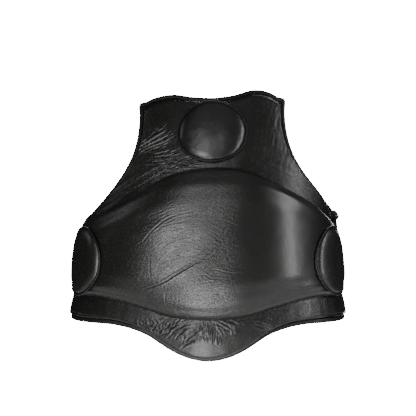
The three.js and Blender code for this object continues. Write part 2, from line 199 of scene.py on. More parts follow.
def outward_share(face):
    """How far a face looks away from the wearer's axis, from -1 to 1"""
    centre = face.calc_center_median()
    return face.normal.dot(Vector((centre.x, centre.y, 0)).normalized())


def refine(piece, box, upright, cuts):
    """Cuts the upright or the level edges of the faces that the camera sees in a box of pixels"""
    left, top, right, bottom = box
    bm = opened(piece)
    edges = {}
    for face in bm.faces:
        if face.normal.y > FACING_CAMERA:
            continue
        column, row = pixel_of(face.calc_center_median())
        if left < column < right and top < row < bottom:
            edges.update(dict.fromkeys(face.edges))
    turned = [edge for edge in edges if upright == climbs(edge, UPRIGHT)]
    bmesh.ops.subdivide_edges(bm, edges=turned, cuts=cuts, use_grid_fill=True)
    closed(bm, piece)
    only(piece)
    bpy.ops.object.shade_smooth()


def edit_faces(piece, chosen):
    """Opens a piece in edit mode, with only the chosen faces selected"""
    only(piece)
    bpy.ops.object.mode_set(mode="EDIT")
    bpy.ops.mesh.select_mode(type="FACE")
    bpy.ops.mesh.select_all(action="DESELECT")
    bpy.ops.object.mode_set(mode="OBJECT")
    for face in piece.data.polygons:
        face.select = chosen(face.normal)
    bpy.ops.object.mode_set(mode="EDIT")


def tree_of(piece):
    """A search tree of a piece's own mesh"""
    corners = [v.co.copy() for v in piece.data.vertices]
    return BVHTree.FromPolygons(corners, [tuple(p.vertices) for p in piece.data.polygons])


# %% [markdown]
# ## Two corrections of the worn form
# The hem of the wings stands out as far as the band above it, and the right shoulder rises a little higher
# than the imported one. The shell, its binding and the straps all go through the same move.


# %% Spread hem and raised shoulder
def eased(value, start, end):
    """0 before the start, 1 after the end and a smooth rise between them"""
    share = np.clip((value - start) / (end - start), 0, 1)
    return share * share * (3 - 2 * share)


hem_tree = tree_of(nodes["edge_binding"])
HEM_SPREAD = 0.011
HEM_REACH = (0.005, 0.015)
HEM_DEPTH = (0.135, 0.15)
HEM_SIDES = (0.15, 0.215)
SHOULDER_LIFT = 0.0048
SHOULDER_X = (0.098, 0.034)
SHOULDER_RISE = (0.19, 0.24)


def spread_and_lift(piece):
    """Spreads the hem of both wings as far as the band stands out above it, and raises the top of the
    right shoulder; pieces that meet there go through the same move and stay together"""
    points = points_of(piece)
    x, y, z = points.T
    share = eased(-z, *HEM_DEPTH) * eased(np.abs(x), *HEM_SIDES) * HEM_SPREAD
    for k in np.nonzero(share)[0]:
        share[k] *= 1 - eased(hem_tree.find_nearest(Vector(points[k]))[3], *HEM_REACH)
    out = np.hypot(x, y)
    points[:, 0] += x / out * share
    points[:, 1] += y / out * share
    near = np.exp(-(((x - SHOULDER_X[0]) / SHOULDER_X[1]) ** 2))
    points[:, 2] += near * eased(z, *SHOULDER_RISE) * SHOULDER_LIFT
    set_points(piece, points)


# %% [markdown]
# ## Folds in leather
# A crease is drawn through a few pixels of the picture and dropped on the surface. Short ones are strewn
# over a zone, with a seed, so that every run gives the same leather.


# %% Folds
def on_curve(a, b, c, d, t):
    """A share t of the way from b to c, on a smooth curve that comes from a and goes on to d"""
    return 0.5 * (
        2 * b + (c - a) * t + (2 * a - 5 * b + 4 * c - d) * t**2 + (3 * b - a - 3 * c + d) * t**3
    )


def seen_on(tree, column, row):
    """The point of a surface that the camera sees at a pixel, or None"""
    across = (column - ORIGIN_PIXEL[0]) * PIXEL
    up = (ORIGIN_PIXEL[1] - row) * PIXEL
    way = (Vector((across, 0, up)) - EYE).normalized()
    return tree.ray_cast(EYE, way)[0]


def draped(tree, corners, steps=9):
    """A smooth line through pixels of the view, dropped on a surface"""
    spine = [corners[0], *corners, corners[-1]]
    line = []
    spans = len(corners) - 1
    for k in range(spans * steps + 1):
        span = min(k // steps, spans - 1)
        t = k / steps - span
        hit = seen_on(tree, *on_curve(*np.array(spine[span : span + 4], float), t))
        if hit is not None:
            line.append(hit)
    return np.array(line)


CREASE_REACH = 3.5
CREASE_ENDS = (0.02, 0.98)
END_FADE = 0.7
BULGE_AT = 1.9
BULGE_SPREAD = 0.9
LEAN_SPREAD = 9
BOW = 0.25
SWELL_FACING = -0.2
SWELL_REACH = 6
EDGE_FADE = (0.002, 0.014)


class Folds:
    """Adds up the rise of every point of a piece, and how deep in a fold it lies"""

    def __init__(self, piece):
        self.piece = piece
        self.tree = tree_of(piece)
        self.points = points_of(piece)
        self.normals = normals_of(piece)
        self.rise = np.zeros(len(self.points))
        self.deep = np.zeros(len(self.points))
        self.count = 0

    def press(self, line, width, depth, shoulder=0.5):
        """Presses a crease along a line: it sinks there and bulges on both sides"""
        if len(line) < 2:
            return
        reach = CREASE_REACH * width
        above, below = self.points > line.min(0) - reach, self.points < line.max(0) + reach
        near = np.flatnonzero(np.all(above & below, axis=1))
        if not len(near):
            return
        p = self.points[near]
        best = np.full(len(p), np.inf)
        along = np.zeros(len(p))
        for k in range(len(line) - 1):
            step = line[k + 1] - line[k]
            t = np.clip((p - line[k]) @ step / max(step @ step, 1e-12), 0, 1)
            away = np.linalg.norm(p - line[k] - t[:, None] * step, axis=1)
            closer = away < best
            best[closer] = away[closer]
            along[closer] = (k + t[closer]) / (len(line) - 1)
        fade = np.sin(np.pi * np.clip(along, *CREASE_ENDS)) ** END_FADE
        r = best / width
        sink = np.exp(-(r**2)) * fade
        bulge = np.exp(-(((r - BULGE_AT) / BULGE_SPREAD) ** 2)) * fade
        self.rise[near] += depth * (shoulder * bulge - sink)
        self.deep[near] = np.maximum(self.deep[near], sink)
        self.count += 1

    def crease(self, corners, width, depth, shoulder=0.5):
        self.press(draped(self.tree, corners), width, depth, shoulder)

    def scatter(self, chance, count, area, slope, length, width, depth):
        """Short creases inside an ellipse of the view: its middle and half sizes in pixels"""
        (mid_x, mid_y), (half_x, half_y) = area
        for _ in range(count):
            turn, out = chance.uniform(0, math.tau), math.sqrt(chance.random())
            x = mid_x + half_x * out * math.cos(turn)
            y = mid_y + half_y * out * math.sin(turn)
            lean = slope(x, y) if callable(slope) else slope
            lean = math.radians(lean + chance.gauss(0, LEAN_SPREAD))
            half = chance.uniform(*length) / 2
            bow = chance.uniform(-BOW, BOW) * half
            ahead = np.array((math.cos(lean), -math.sin(lean)))
            aside = np.array((ahead[1], -ahead[0]))
            middle = np.array((x, y)) + bow * aside
            ends = [(x, y) - half * ahead, (x, y) + half * ahead]
            corners = [ends[0], middle, ends[1]]
            self.press(
                draped(self.tree, corners, 4), chance.uniform(*width), chance.uniform(*depth), 0.6
            )

    def swell(self, middle, spread, height, edge):
        """A broad bulge seen at a pixel, which dies away just before an edge"""
        for k in np.flatnonzero(self.normals[:, 1] < SWELL_FACING):
            point = Vector(self.points[k])
            column, row = pixel_of(point)
            away = ((column - middle[0]) / spread[0]) ** 2 + ((row - middle[1]) / spread[1]) ** 2
            if away < SWELL_REACH:
                inner = eased(edge.find_nearest(point)[3], *EDGE_FADE)
                self.rise[k] += height * math.exp(-away) * inner

    def ripple(self, size, height, seed):
        """Broad soft unevenness, as of padding under leather"""
        shift = Vector((seed, seed, seed))
        wave = np.array([noise.noise(Vector(p) / size + shift) for p in self.points])
        self.rise += height * wave

    def finish(self):
        set_points(self.piece, self.points + self.normals * self.rise[:, None])
        fold = self.piece.data.attributes.new("fold", "FLOAT", "POINT")
        fold.data.foreach_set("value", np.clip(self.deep, 0, 1))
        print(self.piece.name, "has", self.count, "folds and", len(self.points), "points")


# %% [markdown]
# ## Leather, thread, webbing and plastic
# Nearly everything here is black leather, so its grain is one node group that each leather material uses
# with its own sizes. A second group paints shade into the bottoms of the folds, which the mesh step marks
# in an attribute, and dulls them. The colours are close to black, and the shine does the rest.


# %% Node helpers
def add(tree, kind, inputs=None, **settings):
    """Adds a node, sets it, and links or sets its inputs"""
    made = tree.nodes.new(kind)
    for name, value in settings.items():
        setattr(made, name, value)
    for key, value in (inputs or {}).items():
        if isinstance(value, bpy.types.NodeSocket):
            tree.links.new(value, made.inputs[key])
        else:
            made.inputs[key].default_value = value
    return made


def maths(tree, operation, a, b=0.0, c=0.0):
    return add(tree, "ShaderNodeMath", {0: a, 1: b, 2: c}, operation=operation).outputs[0]


def new_group(name, inputs, outputs):
    """A node group with named sockets, and its two end nodes"""
    group = bpy.data.node_groups.new(name, "ShaderNodeTree")
    for label, kind, value in inputs:
        socket = group.interface.new_socket(name=label, in_out="INPUT", socket_type=kind)
        if value is not None:
            socket.default_value = value
    for label, kind in outputs:
        group.interface.new_socket(name=label, in_out="OUTPUT", socket_type=kind)
    return group, group.nodes.new("NodeGroupInput"), group.nodes.new("NodeGroupOutput")


NUMBER = "NodeSocketFloat"
COLOUR = "NodeSocketColor"
VECTOR = "NodeSocketVector"

# %% The grain of leather
grain, grain_in, grain_out = new_group(
    "Leather grain",
    [
        ("Place", VECTOR, None),
        ("Pebble size", NUMBER, 0.001),
        ("Pebble depth", NUMBER, 0.00005),
        ("Wrinkle size", NUMBER, 0.006),
        ("Wrinkle depth", NUMBER, 0.0002),
    ],
    [("Height", NUMBER), ("Mottle", NUMBER)],
)
given = grain_in.outputs
finer = maths(grain, "DIVIDE", 1.0, given["Pebble size"])
cells = {"Vector": given["Place"], "Scale": finer}
pebbles = add(grain, "ShaderNodeTexVoronoi", cells, feature="SMOOTH_F1")
domes = maths(grain, "SUBTRACT", 0.6, pebbles.outputs["Distance"])
pebble_rise = maths(grain, "MULTIPLY", domes, given["Pebble depth"])
coarser = maths(grain, "DIVIDE", 1.0, given["Wrinkle size"])
wavy = add(
    grain,
    "ShaderNodeTexNoise",
    {"Vector": given["Place"], "Scale": coarser, "Detail": 3.0, "Distortion": 0.6},
)
valley = maths(grain, "ABSOLUTE", maths(grain, "SUBTRACT", wavy.outputs["Fac"], 0.5))
valley = maths(grain, "MINIMUM", maths(grain, "MULTIPLY", valley, 9.0), 1.0)
wrinkle_rise = maths(grain, "MULTIPLY", valley, given["Wrinkle depth"])
broad = add(grain, "ShaderNodeTexNoise", {"Vector": given["Place"], "Scale": 14.0, "Detail": 4.0})
grain.links.new(maths(grain, "ADD", pebble_rise, wrinkle_rise), grain_out.inputs["Height"])
grain.links.new(broad.outputs["Fac"], grain_out.inputs["Mottle"])
print("leather grain:", len(grain.nodes), "nodes")

# %% The bottoms of folds
# Painted shade: the fold colour darkens the bottoms of the creases, where shade falls. The folds and the
# mottle also raise the roughness.
fold_shade_and_dulling, fold_shade_and_dulling_in, fold_shade_and_dulling_out = new_group(
    "Painted fold shade and dulling",
    [
        ("Fold", NUMBER, 0.0),
        ("Mottle", NUMBER, 0.5),
        ("Leather colour", COLOUR, (0.01, 0.01, 0.01, 1)),
        ("Fold shade colour", COLOUR, (0.004, 0.004, 0.004, 1)),
        ("Smooth roughness", NUMBER, 0.4),
        ("Dull roughness", NUMBER, 0.6),
    ],
    [("Colour", COLOUR), ("Roughness", NUMBER)],
)
given = fold_shade_and_dulling_in.outputs
tinted = add(fold_shade_and_dulling, "ShaderNodeMix", {"Factor": given["Fold"]}, data_type="RGBA")
colour_plugs = [socket for socket in tinted.inputs if socket.type == "RGBA"]
for plug, label in zip(colour_plugs, ("Leather colour", "Fold shade colour")):
    fold_shade_and_dulling.links.new(given[label], plug)
tinted_out = next(s for s in tinted.outputs if s.type == "RGBA")
from_fold = maths(fold_shade_and_dulling, "MULTIPLY", given["Fold"], 0.6)
from_mottle = maths(fold_shade_and_dulling, "MULTIPLY", given["Mottle"], 0.45)
dullness = maths(fold_shade_and_dulling, "MINIMUM", maths(fold_shade_and_dulling, "ADD", from_fold, from_mottle), 1.0)
spread = maths(fold_shade_and_dulling, "SUBTRACT", given["Dull roughness"], given["Smooth roughness"])
rough = maths(fold_shade_and_dulling, "MULTIPLY_ADD", dullness, spread, given["Smooth roughness"])
fold_shade_and_dulling.links.new(tinted_out, fold_shade_and_dulling_out.inputs["Colour"])
fold_shade_and_dulling.links.new(rough, fold_shade_and_dulling_out.inputs["Roughness"])


# %% Leather materials
def shader_of(material):
    return next(n for n in material.node_tree.nodes if n.type == "BSDF_PRINCIPLED")


CALM_PEBBLE = 0.35
CALM_WRINKLE = 0.06
FOLD_SHADE = 0.45


def leather(name, colour, smooth, dull, pebble, wrinkle, coat=0.12, drawn_out=1.0, calm=None):
    """A black leather with its own grain: pebble and wrinkle are (size, depth) in metres, and both are
    drawn out sideways so many times. From the first to the second x of calm they fade"""
    material = bpy.data.materials.new(name)
    material.use_nodes = True
    tree = material.node_tree
    shader = shader_of(material)
    place = add(tree, "ShaderNodeTexCoord").outputs["Object"]
    fold = add(tree, "ShaderNodeAttribute", attribute_name="fold").outputs["Fac"]
    sideways = (1 / drawn_out, 1 / drawn_out, 1)
    laid = add(tree, "ShaderNodeMapping", {"Vector": place, "Scale": sideways})
    plugs = {
        "Place": laid.outputs[0],
        "Pebble size": pebble[0],
        "Pebble depth": pebble[1],
        "Wrinkle size": wrinkle[0],
        "Wrinkle depth": wrinkle[1],
    }
    if calm:
        right = add(tree, "ShaderNodeSeparateXYZ", {"Vector": place}).outputs["X"]
        ends = {"Value": right, "From Min": calm[0], "From Max": calm[1]}
        for label, left_over in (("Pebble depth", CALM_PEBBLE), ("Wrinkle depth", CALM_WRINKLE)):
            ends |= {"To Min": plugs[label], "To Max": plugs[label] * left_over}
            fading = add(tree, "ShaderNodeMapRange", ends, interpolation_type="SMOOTHSTEP")
            plugs[label] = fading.outputs["Result"]
    skin = add(tree, "ShaderNodeGroup", plugs, node_tree=grain)
    # The fold mask paints shade into the bottoms of the creases and makes them duller.
    plugs = {
        "Fold": fold,
        "Mottle": skin.outputs["Mottle"],
        "Leather colour": (*colour, 1),
        "Fold shade colour": (*[FOLD_SHADE * c for c in colour], 1),
        "Smooth roughness": smooth,
        "Dull roughness": dull,
    }
    fold_shaded_and_dulled = add(tree, "ShaderNodeGroup", plugs, node_tree=fold_shade_and_dulling)
    bump = add(tree, "ShaderNodeBump", {"Distance": 1.0, "Height": skin.outputs["Height"]})
    tree.links.new(fold_shaded_and_dulled.outputs["Colour"], shader.inputs["Base Color"])
    tree.links.new(fold_shaded_and_dulled.outputs["Roughness"], shader.inputs["Roughness"])
    tree.links.new(bump.outputs["Normal"], shader.inputs["Normal"])
    shader.inputs["Coat Weight"].default_value = coat
    shader.inputs["Coat Roughness"].default_value = 0.3
    return material


BLACK = (0.0068, 0.0065, 0.0061)
shell_leather = leather("Front leather", BLACK, 0.31, 0.47, (0.0016, 0.00007), (0.005, 0.00013))
BELLY_GRAIN = ((0.0017, 0.00006), (0.0042, 0.00016))
pad_leather = leather("Belly leather", BLACK, 0.32, 0.46, *BELLY_GRAIN, 0.12, 1.9, (0.03, 0.085))
target_leather = leather("Round pad leather", BLACK, 0.34, 0.48, (0.0014, 0.00005), (0.008, 0.00005))
EDGE_BLACK = (0.005, 0.005, 0.005)
BINDING_GRAIN = ((0.001, 0.00005), (0.004, 0.0001))
binding_leather = leather("Binding leather", EDGE_BLACK, 0.46, 0.6, *BINDING_GRAIN, 0.04)
for material, gloss in ((shell_leather, 0.38), (binding_leather, 0.25)):
    shader_of(material).inputs["Specular IOR Level"].default_value = gloss
print("leathers:", [m.name for m in (shell_leather, pad_leather, target_leather, binding_leather)])


# %% [markdown]
# ## The padded shell
# The shell is a foam front sewn between two layers of leather, with the bib, both wings and the lower band
# in one piece. It could be cut flat and wrapped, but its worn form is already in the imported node. A copy is
# divided more finely where it shows and rounded, its hem is spread and its right shoulder raised. It is
# then creased where the leather is pulled: across the bib's left side, along the neckline and in gathers
# below the belly pad.

# %% Shell form
SHOWN_OUTWARD = 0.3
SHOWN_AREA = 0.00008
COVER_GAP = 0.004
shell = copy_of("body_shell", "shell_padding")
pad_tree = tree_of(nodes["belly_pad"])
bm = opened(shell)
shown = []
for face in bm.faces:
    covered = pad_tree.ray_cast(face.calc_center_median(), face.normal, COVER_GAP)[0] is not None
    if outward_share(face) > SHOWN_OUTWARD and not covered and face.calc_area() > SHOWN_AREA:
        shown.append(face)
edges = list(dict.fromkeys(edge for face in shown for edge in face.edges))
bmesh.ops.subdivide_edges(bm, edges=edges, cuts=1, use_grid_fill=True)
closed(bm, shell)
round_off(shell, 2)
spread_and_lift(shell)
BIB_BOX = (128, 122, 204, 182)
BAND_BOX = (132, 308, 278, 350)
refine(shell, BIB_BOX, True, 2)
refine(shell, BAND_BOX, False, 2)
refine(shell, BAND_BOX, True, 1)
print("shell:", len(shown), "shown faces,", len(shell.data.polygons), "faces in all")

# %% Shell folds
chance = random.Random(7)
folds = Folds(shell)


def fan(x, y, centre):
    """The lean of a crease that spreads out from a point of the view, in degrees"""
    return math.degrees(math.atan2(centre[1] - y, x - centre[0]))


def bib_slope(x, y):
    """On the bib's left side the creases spread out from the armhole"""
    return fan(x, y, (124, 160))


def band_slope(x, y):
    """Below the belly pad the gathers spread out from the middle of its seam, steep at the left"""
    return -62 if x < 160 else fan(x, y, (209, 308))


BIB_CREASES = [
    [(140, 147), (152, 140), (168, 130)],
    [(140, 150), (154, 143), (170, 135)],
    [(142, 152), (156, 146), (168, 141)],
    [(145, 139), (156, 132), (165, 129)],
    [(141, 144), (150, 137), (160, 131)],
    [(139, 154), (147, 149), (158, 145)],
    [(153, 155), (163, 152.5), (176, 152)],
    [(148, 158), (160, 157), (174, 155)],
    [(150, 162), (162, 161), (176, 158.5)],
    [(160, 165), (168, 163), (178, 163)],
    [(152, 169), (160, 171.5), (168, 173)],
    [(146, 165), (155, 166), (166, 169)],
    [(153, 173), (160, 176), (164, 178)],
    [(178, 164), (187, 163), (197, 162.5)],
    [(176, 168), (184, 166.5), (192, 167)],
]
BAND_CREASES = [
    [(167.7, 326.3), (170, 322.9), (175.7, 321.1)],
    [(168.9, 333.1), (171.1, 327.4), (179.1, 324), (190.6, 322.9)],
    [(192.9, 322.9), (180.3, 326.3), (170, 334.3)],
    [(194, 324.6), (183.7, 329.7), (175.7, 337.7)],
    [(200.9, 333.1), (194, 338.9), (187.1, 342.3), (181.4, 346.9)],
    [(203, 326.3), (194, 333), (184.9, 338.9)],
    [(211.7, 322.9), (212.9, 332), (213.4, 342.3)],
    [(208.9, 324), (210, 334.3)],
    [(218, 334.3), (218.6, 342.3)],
    [(214.6, 321.7), (220.3, 324.6), (224.9, 328)],
    [(219.1, 321.1), (227.1, 324.6), (230.6, 327.4)],
    [(228.3, 320), (232.9, 321.7), (237.4, 324)],
    [(231.7, 326.3), (233.4, 333.1)],
    [(253.4, 321.7), (261.4, 323.4), (271.7, 328.6)],
    [(255.7, 325.7), (263.7, 327.4), (270, 330.9)],
    [(138.6, 319.4), (139.7, 324.6)],
    [(144.9, 322.9), (148.9, 328.6)],
    [(157.4, 322.9), (154.6, 327.4), (151.7, 329.7)],
    [(163.1, 327.4), (159.7, 332)],
]
# Count, place in the view, slope, length in pixels, width and depth of the strewn creases
SHELL_ZONES = (
    (90, ((157, 150), (20, 28)), bib_slope, (7, 20), (0.0009, 0.0015), (0.0002, 0.0006)),
    (50, ((180, 164), (24, 8)), bib_slope, (6, 14), (0.0009, 0.0015), (0.0002, 0.0005)),
    (14, ((275, 140), (18, 35)), 75, (8, 22), (0.002, 0.003), (0.0001, 0.0003)),
    (110, ((188, 329), (36, 11)), band_slope, (4, 11), (0.001, 0.0017), (0.0003, 0.0008)),
    (46, ((234, 324), (34, 8)), band_slope, (4, 9), (0.001, 0.0016), (0.00015, 0.00042)),
    (22, ((150, 324), (12, 6)), band_slope, (4, 8), (0.0012, 0.0018), (0.0004, 0.0008)),
    (16, ((115, 212), (28, 12)), 38, (8, 20), (0.0016, 0.0026), (0.0001, 0.0003)),
)
for corners in BIB_CREASES:
    folds.crease(corners, 0.0014, 0.0013, 0.8)
for corners in BAND_CREASES:
    folds.crease(corners, 0.0016, 0.0014, 0.9)
for zone in SHELL_ZONES:
    folds.scatter(chance, *zone)
folds.crease([(165, 102), (195, 104), (225, 102), (258, 96)], 0.002, 0.0007)
folds.crease([(178, 107), (205, 109), (235, 106)], 0.0018, 0.0004)
folds.crease([(160, 98), (185, 98), (215, 99.5), (245, 96), (262, 93)], 0.0018, 0.0006)
folds.crease([(73, 312), (78, 315), (84, 318)], 0.002, 0.0012)
folds.swell((207, 330), (46, 60), 0.011, tree_of(nodes["edge_binding"]))
folds.ripple(0.045, 0.001, 3.1)
folds.ripple(0.018, 0.00018, 8.4)
folds.finish()
shell.data.materials.append(shell_leather)
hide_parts("body_shell")
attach(shell, "root")

# %% [markdown]
# ## The belly pad
# The belly pad takes the punches, so it is the thickest padding: a curved cushion from wing to wing whose
# edges roll down to the shell. Its front is divided more finely than its hidden back. Long slack creases
# run across its left half, and the right half stays smooth: there even the grain of its leather fades.

# %% Belly pad
FRONT_OUTWARD = 0.1
FRONT_UPRIGHT = 0.6
CREASED_BOX = (134, 196, 250, 318)
pad = copy_of("belly_pad", "belly_padding")
bm = opened(pad)
front = [face for face in bm.faces if outward_share(face) > FRONT_OUTWARD]
edges = dict.fromkeys(edge for face in front for edge in face.edges)
upright = [edge for edge in edges if climbs(edge, FRONT_UPRIGHT)]
bmesh.ops.subdivide_edges(bm, edges=upright, cuts=1, use_grid_fill=True)
closed(bm, pad)
round_off(pad, 3)
refine(pad, CREASED_BOX, True, 2)
refine(pad, CREASED_BOX, False, 2)

folds = Folds(pad)


def belly_slope(x, y):
    """The fine creases follow arcs over the belly, as the seam above them does"""
    return (207 - x) * 0.55


BELLY_CREASES = [
    ([(143.5, 289.5), (161.8, 283), (175.2, 275), (186.8, 268), (203, 259), (214, 252.5)], 0.0015, 0.0012),
    ([(136, 246), (143, 241.5), (152, 231), (162, 222.5), (174, 216), (190, 212)], 0.0014, 0.00032),
    ([(145, 238), (153, 229), (163, 221), (176, 214.5), (206, 209)], 0.0013, 0.00014),
    ([(151, 234), (164.5, 226), (174.3, 223), (185, 221.4), (197.5, 219)], 0.0013, 0.00015),
    ([(150, 228), (160, 219), (172, 213)], 0.0012, 0.0001),
    ([(203, 220.5), (215.4, 219.6), (228, 222.3), (240, 227)], 0.0014, 0.00015),
    ([(204.6, 271.4), (211, 269.6), (219, 270.5), (229.6, 273.2), (244, 272.8)], 0.0012, 0.00032),
    ([(187, 278.6), (194, 276), (204.6, 275), (211.8, 278.6), (226, 278.6)], 0.0012, 0.0003),
    ([(180.5, 291), (190.4, 289.3), (203, 283), (215.4, 280.8)], 0.0013, 0.0004),
    ([(150, 254), (149.5, 268), (151, 284)], 0.0013, 0.00012),
    ([(166, 290), (165, 300), (168, 309)], 0.0014, 0.0002),
    ([(178, 292), (178, 302), (175, 311)], 0.0014, 0.00018),
    ([(162, 247), (176, 240), (192, 236)], 0.0012, 0.0003),
    ([(186, 262), (196, 256), (210, 249)], 0.0012, 0.0003),
]
BELLY_ZONES = (
    (180, ((184, 234), (40, 34)), belly_slope, (4, 15), (0.0009, 0.0014), (0.00006, 0.00018)),
    (150, ((188, 284), (38, 28)), 14, (4, 12), (0.0009, 0.0014), (0.00006, 0.00019)),
    (40, ((175, 292), (28, 20)), 80, (4, 11), (0.0009, 0.0014), (0.00006, 0.00014)),
)
for corners, width, depth in BELLY_CREASES:
    folds.crease(corners, width, depth, 0.8)
for zone in BELLY_ZONES:
    folds.scatter(chance, *zone)
folds.ripple(0.06, 0.0011, 1.7)
folds.ripple(0.02, 0.00016, 5.2)
folds.finish()
pad.data.materials.append(pad_leather)
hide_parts("belly_pad")
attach(pad, "root")

# %% [markdown]
# ## The round target pads
# Three domed discs mark where the wearer's partner hits. Each is a firm cushion with a rolled edge, and a
# thin welt, a strip of leather round a cord, covers the seam that sews it down.

# %% Targets and welts
for side in ("chest", "left", "right"):
    target = copy_of(f"{side}_target", f"{side}_target_padding")
    round_off(target, 3)
    folds = Folds(target)
    folds.ripple(0.03, 0.0008, 2.0)
    folds.ripple(0.012, 0.0002, 4.0)
    folds.finish()
    target.data.materials.append(target_leather)
    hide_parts(f"{side}_target")
    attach(target, "root")
    welt = copy_of(f"{side}_welt", f"{side}_target_welt")
    round_off(welt, 2)
    welt.data.materials.append(binding_leather)
    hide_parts(f"{side}_welt")
    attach(welt, "root")

# %% [markdown]
# ## The bound edge
# A strip of softer leather is folded over the whole edge and sewn through. It is a channel in the packed
# model, and rounding it gives the roll of the real one.

# %% Binding
binding = copy_of("edge_binding", "edge_binding_leather")
triangles = sum(len(p.vertices) == 3 for p in binding.data.polygons)
print("binding:", len(binding.data.polygons), "faces, of which triangles:", triangles)
round_off(binding, 2)
spread_and_lift(binding)
binding.data.materials.append(binding_leather)
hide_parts("edge_binding")
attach(binding, "root")

# %% [markdown]
# ## The stitching of the edge
# A lockstitch holds the binding. Each stitch shows as a short thread that dips into the leather at both
# ends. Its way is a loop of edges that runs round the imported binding, found by going straight on at every
# corner, and one stitch is modelled and copied along it.


# %% Thread material
def plain_material(name, colour, roughness):
    material = bpy.data.materials.new(name)
    material.use_nodes = True
    shader_of(material).inputs["Base Color"].default_value = (*colour, 1)
    shader_of(material).inputs["Roughness"].default_value = roughness
    return material


thread = plain_material("Waxed thread", (0.02, 0.02, 0.019), 0.55)
place = add(thread.node_tree, "ShaderNodeTexCoord").outputs["Object"]
strands = add(thread.node_tree, "ShaderNodeTexNoise", {"Vector": place, "Scale": 2500.0})
twist = add(
    thread.node_tree, "ShaderNodeBump", {"Distance": 0.0002, "Height": strands.outputs["Fac"]}
)
thread.node_tree.links.new(twist.outputs["Normal"], shader_of(thread).inputs["Normal"])


# %% Loops round the binding
def loops_of(piece):
    """Every loop of points that runs straight on round a ring of quads"""
    bm = opened(piece)
    left, found = dict.fromkeys(bm.edges), []
    while left:
        edge, _ = left.popitem()
        corner = first = edge.verts[0]
        loop = []
        while True:
            corner = edge.other_vert(corner)
            loop.append(corner.co.copy())
            left.pop(edge, None)
            if corner is first:
                break
            sides = set(edge.link_faces)
            edge = next(e for e in corner.link_edges if not sides & set(e.link_faces))
        found.append(loop)
    bm.free()
    return found


def evenly(loop, step):
    """Points along a closed loop at even steps, with the direction at each"""
    points = np.array([*loop, loop[0]])
    lengths = np.linalg.norm(np.diff(points, axis=0), axis=1)
    far = np.concatenate([[0], np.cumsum(lengths)])
    count = round(far[-1] / step)
    places = np.linspace(0, far[-1], count, endpoint=False)
    at = np.stack([np.interp(places, far, points[:, k]) for k in range(3)], axis=1)
    ahead = np.roll(at, -1, axis=0) - np.roll(at, 1, axis=0)
    return at, ahead / np.linalg.norm(ahead, axis=1)[:, None]


STITCH_STEP = 0.0052
STITCH_LENGTH = 0.0036
STITCH_RADIUS = 0.00045
STITCH_LIFT = 0.3
SHORT_LOOP = 20
plain_binding = copy_of("edge_binding", "measured_binding")
loops = [loop for loop in loops_of(plain_binding) if len(loop) > SHORT_LOOP]
bpy.data.objects.remove(plain_binding)
binding_tree = tree_of(binding)


def one_stitch():
    """The points and faces of a stitch that lies along Y"""
    bpy.ops.object.select_all(action="DESELECT")
    bpy.ops.mesh.primitive_uv_sphere_add(segments=6, ring_count=4, radius=1)
    ball = bpy.context.active_object
    ball.data.transform(Matrix.Diagonal((STITCH_RADIUS, STITCH_LENGTH / 2, STITCH_RADIUS, 1)))
    points, faces = points_of(ball), [tuple(p.vertices) for p in ball.data.polygons]
    bpy.data.objects.remove(ball)
    return points, faces


def stitched(name, loop):
    """A row of stitches along a loop, on the rounded binding"""
    at, ahead = evenly(loop, STITCH_STEP)
    stitch, sides = one_stitch()
    points, faces = [], []
    for point, way in zip(at, ahead):
        near = binding_tree.find_nearest(Vector(point))[0]
        # Where two faces meet, this second search settles on one of them
        spot, normal, _, _ = binding_tree.find_nearest(near)
        along = (Vector(way) - normal * normal.dot(Vector(way))).normalized()
        turn = np.array((normal.cross(along), along, normal))
        faces += [tuple(len(points) + k for k in side) for side in sides]
        points += (stitch @ turn + np.array(spot + normal * STITCH_RADIUS * STITCH_LIFT)).tolist()
    mesh = bpy.data.meshes.new(name)
    mesh.from_pydata(points, [], faces)
    row = placed(name, mesh)
    only(row)
    bpy.ops.object.shade_smooth()
    mesh.materials.append(thread)
    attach(row, "root")
    print(name, "has", len(at), "stitches")


def spread_of(loop):
    """How far a loop lies from the wearer's axis, on average"""
    return sum(math.hypot(p.x, p.y) for p in loop) / len(loop)


outer_loops = sorted(loops, key=spread_of)[-3:]
leg_loop = min(outer_loops, key=lambda loop: sum((a - b).length for a, b in zip(loop, loop[1:])))
stitched("binding_stitches", leg_loop)

# %% [markdown]
# ## The harness
# The straps and belts are flat webbing, which keeps its width when it bends. Their way is measured from
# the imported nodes, and each is laid again with many more steps, ribs along it and rounded selvedges. The
# weave reads the band's own UV map, in metres, so that it runs along the band.

# %% Webbing material
weave, weave_in, weave_out = new_group(
    "Web weave",
    [("Place", VECTOR, None), ("Thread width", NUMBER, 0.0012), ("Thread depth", NUMBER, 0.0002)],
    [("Height", NUMBER), ("Shade", NUMBER)],
)
parts = add(weave, "ShaderNodeSeparateXYZ", {"Vector": weave_in.outputs["Place"]})
turns = maths(weave, "DIVIDE", math.pi, weave_in.outputs["Thread width"])
warp = maths(weave, "SINE", maths(weave, "MULTIPLY", parts.outputs["X"], turns))
weft = maths(weave, "SINE", maths(weave, "MULTIPLY", parts.outputs["Y"], turns))
knot = maths(weave, "ABSOLUTE", maths(weave, "MULTIPLY", warp, weft))
fuzz = add(weave, "ShaderNodeTexNoise", {"Vector": weave_in.outputs["Place"], "Scale": 900.0})
shade = maths(weave, "MULTIPLY_ADD", knot, 0.6, maths(weave, "MULTIPLY", fuzz.outputs["Fac"], 0.5))
height = maths(weave, "MULTIPLY", shade, weave_in.outputs["Thread depth"])
weave.links.new(height, weave_out.inputs["Height"])
weave.links.new(shade, weave_out.inputs["Shade"])

